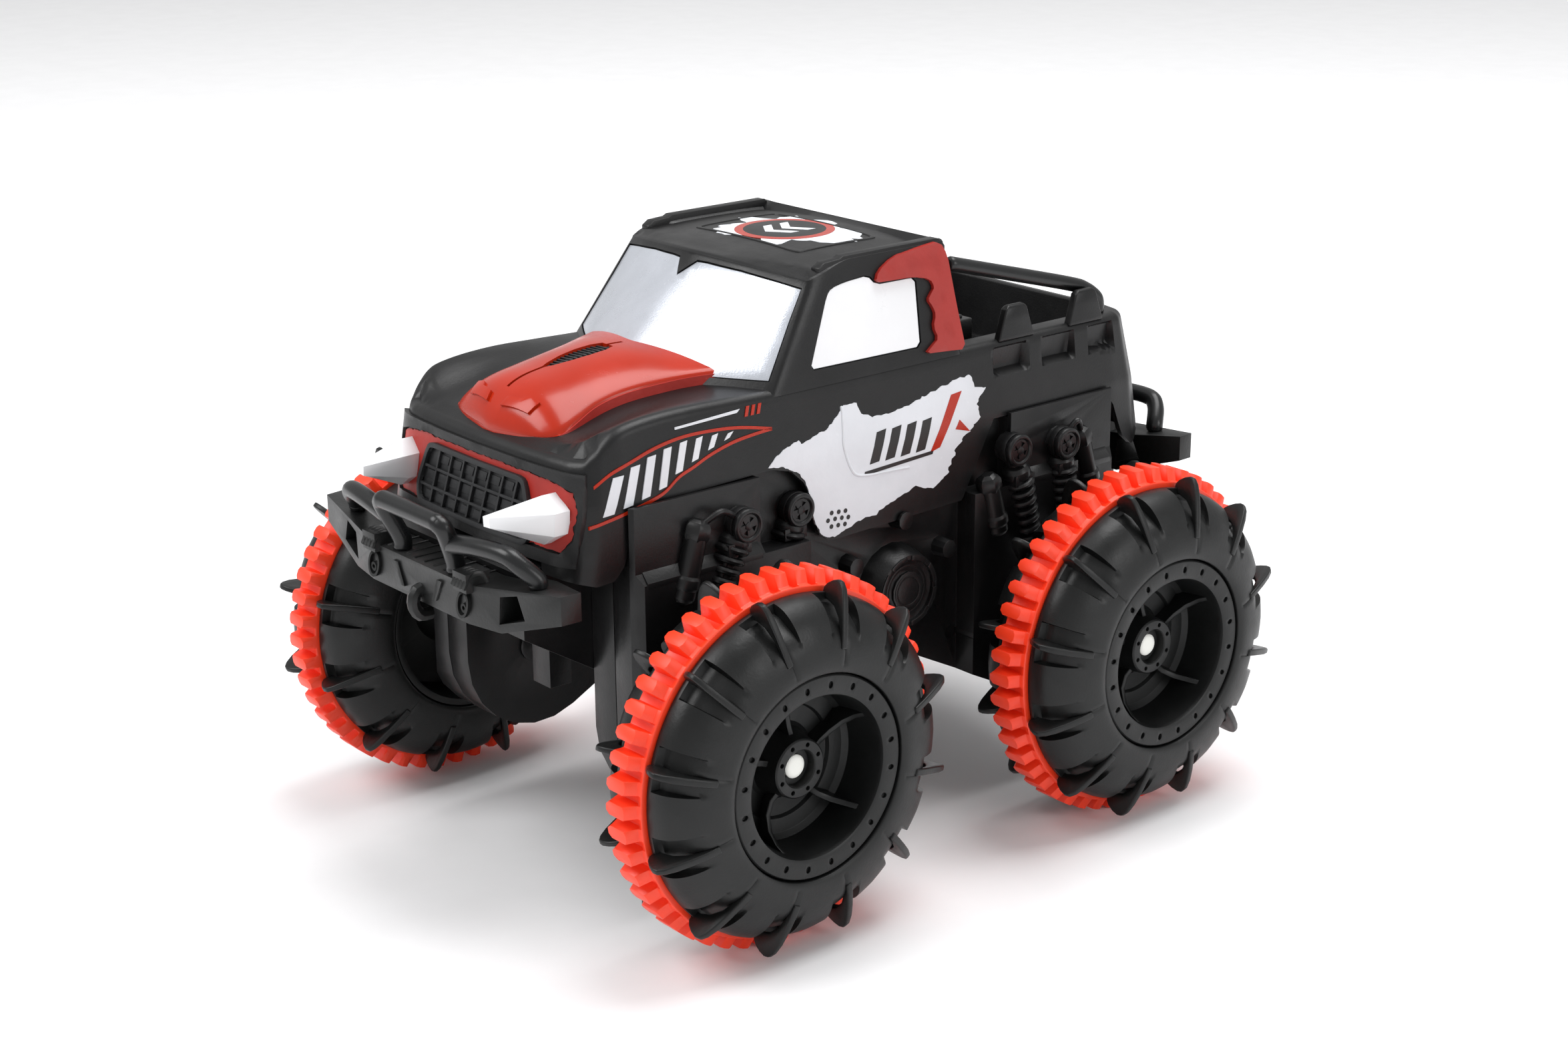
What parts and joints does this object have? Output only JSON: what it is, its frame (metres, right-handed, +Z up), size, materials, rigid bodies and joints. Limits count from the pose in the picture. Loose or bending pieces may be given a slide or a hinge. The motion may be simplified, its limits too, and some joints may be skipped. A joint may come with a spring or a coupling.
{
  "type": "remote control car",
  "caption": "Amphibious monster pickup toy: hollow cab shell on a sealed hull with side gearboxes, gear-driven paddle tyres, bumpers, bull bars and roll bars.",
  "frame": {"origin": "on the ground under the middle of the car, centre of the bounding box's bottom face", "axes": "-Y towards the nose, +X towards the car's left side, +Z up"},
  "size_m": [0.1896, 0.2476, 0.1648],
  "materials": {
    "tread_rubber": "soft satin rubber, orange-red",
    "tyre_plastic": "soft blow-moulded plastic, satin black",
    "rim_plastic": "satin black",
    "white_nylon": "natural white nylon",
    "axle_steel": "plain steel",
    "motor_steel": "zinc-plated can",
    "housing_plastic": "fine-textured satin black",
    "shell_plastic": "satin black with printed graphics",
    "bumper_plastic": "satin black",
    "bar_plastic": "semi-gloss black",
    "grille_plastic": "dark recess",
    "white_plastic": "white paint",
    "window_plastic": "white film under a gloss coat",
    "silver_plastic": "silver-white film",
    "red_paint": "gloss red paint on the hood bulge, front panel, pillars and graphics",
    "battery_wrap": "blue shrink wrap",
    "board_green": "solder mask",
    "knob_plastic": "satin black"
  },
  "bodies": {
    "chassis": {"left_gearbox_inner_half": "housing_plastic", "left_gearbox_outer_half": "housing_plastic", "left_motor": "motor_steel", "left_headlight": "white_plastic", "left_side_window": "window_plastic", "left_roll_bar": "bar_plastic", "right_gearbox_inner_half": "housing_plastic", "right_gearbox_outer_half": "housing_plastic", "right_motor": "motor_steel", "right_headlight": "white_plastic", "right_side_window": "window_plastic", "right_roll_bar": "bar_plastic", "hull_tub": "housing_plastic", "battery_hatch": "housing_plastic", "battery_pack": "battery_wrap", "circuit_board": "board_green", "body_shell": "shell_plastic", "windshield": "silver_plastic", "grille": "grille_plastic", "front_bumper": "bumper_plastic", "rear_bumper": "bumper_plastic", "front_bull_bar": "bar_plastic", "rear_bull_bar": "bar_plastic"},
    "front_left_wheel": {"front_left_tread_ring": "tread_rubber", "front_left_tyre_outer_half": "tyre_plastic", "front_left_tyre_inner_half": "tyre_plastic", "front_left_rim": "rim_plastic", "front_left_hub_nut": "white_nylon", "left_front_axle": "axle_steel"},
    "rear_left_wheel": {"rear_left_tread_ring": "tread_rubber", "rear_left_tyre_outer_half": "tyre_plastic", "rear_left_tyre_inner_half": "tyre_plastic", "rear_left_rim": "rim_plastic", "rear_left_hub_nut": "white_nylon", "left_rear_axle": "axle_steel"},
    "left_front_idler_gear": {"left_front_idler_gear": "white_nylon"},
    "left_middle_gear": {"left_middle_gear": "white_nylon"},
    "left_rear_idler_gear": {"left_rear_idler_gear": "white_nylon"},
    "left_motor_pinion": {"left_motor_pinion": "axle_steel"},
    "front_right_wheel": {"front_right_tread_ring": "tread_rubber", "front_right_tyre_outer_half": "tyre_plastic", "front_right_tyre_inner_half": "tyre_plastic", "front_right_rim": "rim_plastic", "front_right_hub_nut": "white_nylon", "right_front_axle": "axle_steel"},
    "rear_right_wheel": {"rear_right_tread_ring": "tread_rubber", "rear_right_tyre_outer_half": "tyre_plastic", "rear_right_tyre_inner_half": "tyre_plastic", "rear_right_rim": "rim_plastic", "rear_right_hub_nut": "white_nylon", "right_rear_axle": "axle_steel"},
    "right_front_idler_gear": {"right_front_idler_gear": "white_nylon"},
    "right_middle_gear": {"right_middle_gear": "white_nylon"},
    "right_rear_idler_gear": {"right_rear_idler_gear": "white_nylon"},
    "right_motor_pinion": {"right_motor_pinion": "axle_steel"},
    "power_switch": {"switch_knob": "knob_plastic"}
  },
  "joints": [
    {"name": "left_rear_wheel_spin", "type": "hinge", "parent": "chassis", "child": "rear_left_wheel", "pos_m": [0, 0.06485, 0.04997], "axis": [1, 0, 0], "continuous": true},
    {"name": "left_front_wheel_spin", "type": "hinge", "parent": "chassis", "child": "front_left_wheel", "pos_m": [0, -0.06485, 0.04997], "axis": [1, 0, 0], "continuous": true},
    {"name": "left_rear_idler_gear_spin", "type": "hinge", "parent": "chassis", "child": "left_rear_idler_gear", "pos_m": [0, 0.03378, 0.06496], "axis": [1, 0, 0], "continuous": true},
    {"name": "left_middle_gear_spin", "type": "hinge", "parent": "chassis", "child": "left_middle_gear", "pos_m": [0, 0, 0.08125], "axis": [1, 0, 0], "continuous": true},
    {"name": "left_front_idler_gear_spin", "type": "hinge", "parent": "chassis", "child": "left_front_idler_gear", "pos_m": [0, -0.03378, 0.06496], "axis": [1, 0, 0], "continuous": true},
    {"name": "left_motor_pinion_spin", "type": "hinge", "parent": "chassis", "child": "left_motor_pinion", "pos_m": [0, 0.02457, 0.09846], "axis": [1, 0, 0], "continuous": true},
    {"name": "right_rear_wheel_spin", "type": "hinge", "parent": "chassis", "child": "rear_right_wheel", "pos_m": [0, 0.06485, 0.04997], "axis": [1, 0, 0], "continuous": true},
    {"name": "right_front_wheel_spin", "type": "hinge", "parent": "chassis", "child": "front_right_wheel", "pos_m": [0, -0.06485, 0.04997], "axis": [1, 0, 0], "continuous": true},
    {"name": "right_rear_idler_gear_spin", "type": "hinge", "parent": "chassis", "child": "right_rear_idler_gear", "pos_m": [0, 0.03378, 0.06496], "axis": [1, 0, 0], "continuous": true},
    {"name": "right_middle_gear_spin", "type": "hinge", "parent": "chassis", "child": "right_middle_gear", "pos_m": [0, 0, 0.08125], "axis": [1, 0, 0], "continuous": true},
    {"name": "right_front_idler_gear_spin", "type": "hinge", "parent": "chassis", "child": "right_front_idler_gear", "pos_m": [0, -0.03378, 0.06496], "axis": [1, 0, 0], "continuous": true},
    {"name": "right_motor_pinion_spin", "type": "hinge", "parent": "chassis", "child": "right_motor_pinion", "pos_m": [0, 0.02457, 0.09846], "axis": [1, 0, 0], "continuous": true},
    {"name": "switch_slide", "type": "slide", "parent": "chassis", "child": "power_switch", "axis": [0, 1, 0], "range_m": [0, 0.004]}
  ],
  "couplings": [
    {"joint": "left_front_wheel_spin", "follows": "left_rear_wheel_spin", "ratio": 1},
    {"joint": "left_rear_idler_gear_spin", "follows": "left_rear_wheel_spin", "ratio": -1.0909},
    {"joint": "left_middle_gear_spin", "follows": "left_rear_wheel_spin", "ratio": 0.85714},
    {"joint": "left_front_idler_gear_spin", "follows": "left_rear_wheel_spin", "ratio": -1.0909},
    {"joint": "left_motor_pinion_spin", "follows": "left_rear_wheel_spin", "ratio": -2},
    {"joint": "right_front_wheel_spin", "follows": "right_rear_wheel_spin", "ratio": 1},
    {"joint": "right_rear_idler_gear_spin", "follows": "right_rear_wheel_spin", "ratio": -1.0909},
    {"joint": "right_middle_gear_spin", "follows": "right_rear_wheel_spin", "ratio": 0.85714},
    {"joint": "right_front_idler_gear_spin", "follows": "right_rear_wheel_spin", "ratio": -1.0909},
    {"joint": "right_motor_pinion_spin", "follows": "right_rear_wheel_spin", "ratio": -2}
  ]
}
